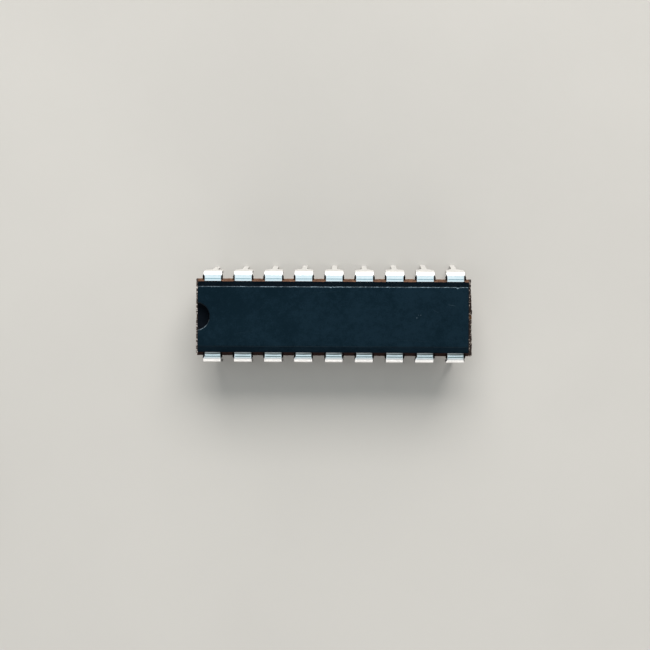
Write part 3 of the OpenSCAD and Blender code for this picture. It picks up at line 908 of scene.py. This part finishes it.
def copper(name):
    g = Graph(name, 0.35, metal=1.0)
    stain = g.noise(2.2, 4.0, 0.6)
    brush = g.noise(1.0, 3.0, 0.6, g.map(g.p, (1.0, 40.0, 8.0)))
    c = g.mix(g.ramp(stain, 0.35, 0.68), (0.46, 0.24, 0.13), (0.72, 0.42, 0.25))
    # the cropped ends of the tie bars are darker and rougher
    ends = g.ramp(g.math("ABSOLUTE", g.axis("X")), 11.2, 11.3)
    c = g.mix(ends, c, g.mix(g.ramp(stain, 0.35, 0.65), (0.050, 0.024, 0.012), (0.115, 0.056, 0.028)))
    g.color(c)
    g.rough(g.math("ADD", g.ramp(brush, 0.3, 0.7, 0.30, 0.46), g.math("MULTIPLY", ends, 0.15)))
    g.bump(brush, 0.002)
    return g.m


def paste(name):
    g = Graph(name, 0.55, metal=0.4)
    n = g.noise(14.0, 4.0, 0.7)
    g.color(g.mix(g.ramp(n, 0.35, 0.65), (0.38, 0.38, 0.36), (0.66, 0.66, 0.63)))
    g.rough(g.ramp(n, 0.3, 0.7, 0.45, 0.62))
    g.bump(n, 0.004)
    return g.m


def die_face(name):
    """Silicon with blocks of metal lines on it."""
    g = Graph(name, 0.2, metal=0.3, level=0.6)
    blocks = g.cells(3.4, what="Color", random=0.6)
    one = g.t.nodes.new("ShaderNodeSeparateColor")
    g.t.links.new(blocks, one.inputs[0])
    lines = g.noise(1.0, 1.0, 0.3, g.map(g.p, (30.0, 1.5, 1.0)))
    rows = g.noise(1.0, 1.0, 0.3, g.map(g.p, (1.5, 30.0, 1.0)))
    weave = g.math("MAXIMUM", lines, rows)
    c = g.mix(g.ramp(one.outputs[0], 0.2, 0.8), (0.09, 0.10, 0.16), (0.20, 0.22, 0.30))
    c = g.mix(g.math("MULTIPLY", g.ramp(weave, 0.50, 0.62), 0.6), c, (0.50, 0.50, 0.46))
    g.color(c)
    g.rough(g.ramp(weave, 0.4, 0.6, 0.16, 0.30))
    return g.m


def gold(name):
    g = Graph(name, 0.25, metal=1.0)
    n = g.noise(30.0, 3.0, 0.6)
    g.color(g.mix(g.ramp(n, 0.3, 0.7), (0.90, 0.62, 0.20), (1.0, 0.76, 0.34)))
    g.rough(g.ramp(n, 0.3, 0.7, 0.18, 0.32))
    return g.m


def floor_finish(name):
    g = Graph(name, 0.8, level=0.3)
    n = g.noise(0.02, 4.0, 0.6)
    fine = g.noise(1.2, 4.0, 0.6)
    g.color(g.mix(g.ramp(n, 0.35, 0.65), (0.515, 0.492, 0.460), (0.540, 0.516, 0.482)))
    g.rough(g.ramp(fine, 0.3, 0.7, 0.72, 0.85))
    return g.m


# ---------------------------------------------------------------- build
# painted light: the blue in these epoxy colours and specular tints is painted cool light; the resin itself is black
TOP = epoxy("epoxy_top", (0.0004, 0.0018, 0.0040), (0.0034, 0.0082, 0.0138), 0.58, 0.20, marks=True)
# rear=0.28 paints shade on the long wall of leads 10 to 18
WALL = epoxy("epoxy_wall", (0.0031, 0.0094, 0.0160), (0.0062, 0.0158, 0.0250), 0.85, 0.010, rear=0.28)
NOTCH = epoxy("epoxy_notch", (0.0012, 0.0020, 0.0036), (0.0038, 0.0052, 0.0080), 0.62, 0.07, tint=(0.6, 0.8, 1.0))
SLIVER = epoxy("epoxy_sliver", (0.0016, 0.0014, 0.0013), (0.0070, 0.0052, 0.0044), 0.65, 0.05, tint=(1.0, 0.9, 0.8))
EDGE_HIGHLIGHT, RIM_HIGHLIGHT = edge_highlight_finish("epoxy_edge_highlight", (0.088, 0.128, 0.158)), edge_highlight_finish("epoxy_rim_highlight", (0.115, 0.150, 0.178))
FLASH, SCUFF = flash_finish("epoxy_flash"), scuff_finish("epoxy_scuff")
TIN = tin("tin_plate")


def body_finish(c, n):
    """Which of the body's materials a face has, from its middle (mm) and its normal."""
    away = math.hypot(c.x - NOTCH_X, c.y - NOTCH_Y) - NOTCH_R
    if away < 0.11 and c.z > Z_TOP - NOTCH_D - 0.02 and not (n.z > 0.995 and c.z > Z_TOP - 0.01):
        # painted highlight: notch rim faces turned towards the key light (n.y above 0.18) get the lighter rim colour
        return 4 if c.z < Z_TOP - 0.075 else 7 if n.y > 0.18 else 0
    if abs(c.y) > 2.955 and abs(c.z - ZM) < 0.2:
        k = min(PER_ROW, max(1, round(c.x / PITCH) + MID))
        i = k if c.y < 0 else 2 * PER_ROW + 1 - k
        beside = abs(c.x - lead_x(k)) - reach(i, -1 if c.x < lead_x(k) else 1, abs(c.y))
        if beside < 0.155 and abs(c.y) > 3.05:
            return 5
    if abs(c.z - ZM) < 0.16 and (abs(c.y) > WW - 0.002 or c.x < 0.075 - LW or c.x > LW - 0.165):
        return 3
    if c.y > WW - 0.04 and abs(c.z - ZM) < 0.20 and abs(c.x - lead_x(min(PER_ROW, max(1, round(c.x / PITCH) + MID)))) > 0.78:
        return 3
    if abs(n.z) > 0.97:
        return 0
    if Z_TOP - 0.085 < c.z < Z_TOP - 0.0005 and n.z > 0.12:
        # painted highlight: only the rear top edge, which faces the key light, gets the lighter edge colour
        if n.y > 0.25 and c.y > WT - 0.13:
            return 2
        if abs(n.y) > 0.25:
            return 0
        return 1
    if abs(n.x) > 0.7 and abs(c.z - ZM) < 0.75:
        return 6
    return 1


body = make_body()
body.data.materials.clear()
for m in (TOP, WALL, EDGE_HIGHLIGHT, FLASH, NOTCH, SLIVER, SCUFF, RIM_HIGHLIGHT):
    body.data.materials.append(m)
for f in body.data.polygons:
    f.material_index = body_finish(f.center / MM, f.normal)
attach(body, "root")
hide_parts("moulded_body")

for i in range(1, 2 * PER_ROW + 1):
    lead = make_lead(i)
    f = prism("finger", finger_outline(k_of(i)), Z0, Z1, -1 if i <= PER_ROW else 1)
    count = boolean(lead, f, "UNION")
    drop(f)
    tidy(lead, 40.0)
    lead.data.materials.clear()
    lead.data.materials.append(TIN)
    for q in lead.data.polygons:
        q.material_index = 0
    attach(lead, "root")
    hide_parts("lead_%02d" % i)
    if i in (1, 18):
        print("lead", i, "faces", count, "uv", [u.name for u in lead.data.uv_layers])

looks = {"die_paddle": copper("frame_copper_finish"), "die_attach": paste("bonding_paste_finish"),
         "silicon_die": die_face("silicon_finish")}
wire = gold("gold_finish")
for name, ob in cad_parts.items():
    if ob.hide_render:
        continue
    ob.data.materials.clear()
    ob.data.materials.append(wire if name.startswith("bond_wire") else looks[name])
    for q in ob.data.polygons:
        q.material_index = 0

# ---------------------------------------------------------------- floor, light, camera
floor = new_object("floor", [(-1500, -1500, 0), (1500, -1500, 0), (1500, 1500, 0), (-1500, 1500, 0)], [[0, 1, 2, 3]])
floor.data.materials.append(floor_finish("floor_finish"))


def softbox(name, at, aim, width, height, watts, color):
    data = bpy.data.lights.new(name, "AREA")
    data.shape = "RECTANGLE"
    data.size, data.size_y = width * MM, height * MM
    data.energy, data.color = watts, color
    ob = bpy.data.objects.new(name, data)
    bpy.context.scene.collection.objects.link(ob)
    ob.location = [v * MM for v in at]
    ob.rotation_mode = "QUATERNION"
    ob.rotation_quaternion = (Vector(aim) - Vector(at)).to_track_quat("-Z", "Y")
    ob.visible_camera = False
    return ob


softbox("key", (40, 300, 340), (0, 0, 5), 360, 240, 2.1, (1.0, 0.99, 0.97))
softbox("overhead", (-30, 40, 460), (0, 0, 5), 420, 300, 0.40, (0.74, 0.93, 1.0))
softbox("fill", (-40, -420, 225), (0, 0, 5), 600, 440, 0.85, (1.0, 0.98, 0.95))
softbox("low", (0, -430, 85), (0, 0, 5), 560, 140, 0.48, (1.0, 0.97, 0.93))
softbox("rear", (0, 480, 145), (0, 0, 5), 560, 280, 1.15, (1.0, 0.98, 0.96))

world = bpy.data.worlds.new("studio")
bpy.context.scene.world = world
world.use_nodes = True
back = world.node_tree.nodes.get("Background") or world.node_tree.nodes.new("ShaderNodeBackground")
back.inputs["Color"].default_value = (0.86, 0.88, 0.90, 1.0)
back.inputs["Strength"].default_value = 0.25

scene = bpy.context.scene
scene.view_settings.view_transform = "Standard"
scene.view_settings.look = "None"

cam_data = bpy.data.cameras.new("camera")
cam_data.sensor_width = 36.0
cam_data.lens = 36.0 * 1638.0 / 650.0
cam_data.clip_start, cam_data.clip_end = 0.005, 10.0
cam = bpy.data.objects.new("camera", cam_data)
scene.collection.objects.link(cam)
place, aim = Vector((0.85, -0.69, 142.6)), Vector((-0.753, -0.69, 5.587))
behind = (place - aim).normalized()
roll = math.radians(0.27)
right = Vector((math.cos(roll), math.sin(roll), 0.0))
right = (right - behind * right.dot(behind)).normalized()
above = behind.cross(right)
turn = Matrix((right, above, behind)).transposed()
cam.rotation_mode = "QUATERNION"
cam.rotation_quaternion = turn.to_quaternion()
cam.location = place * MM
scene.camera = cam
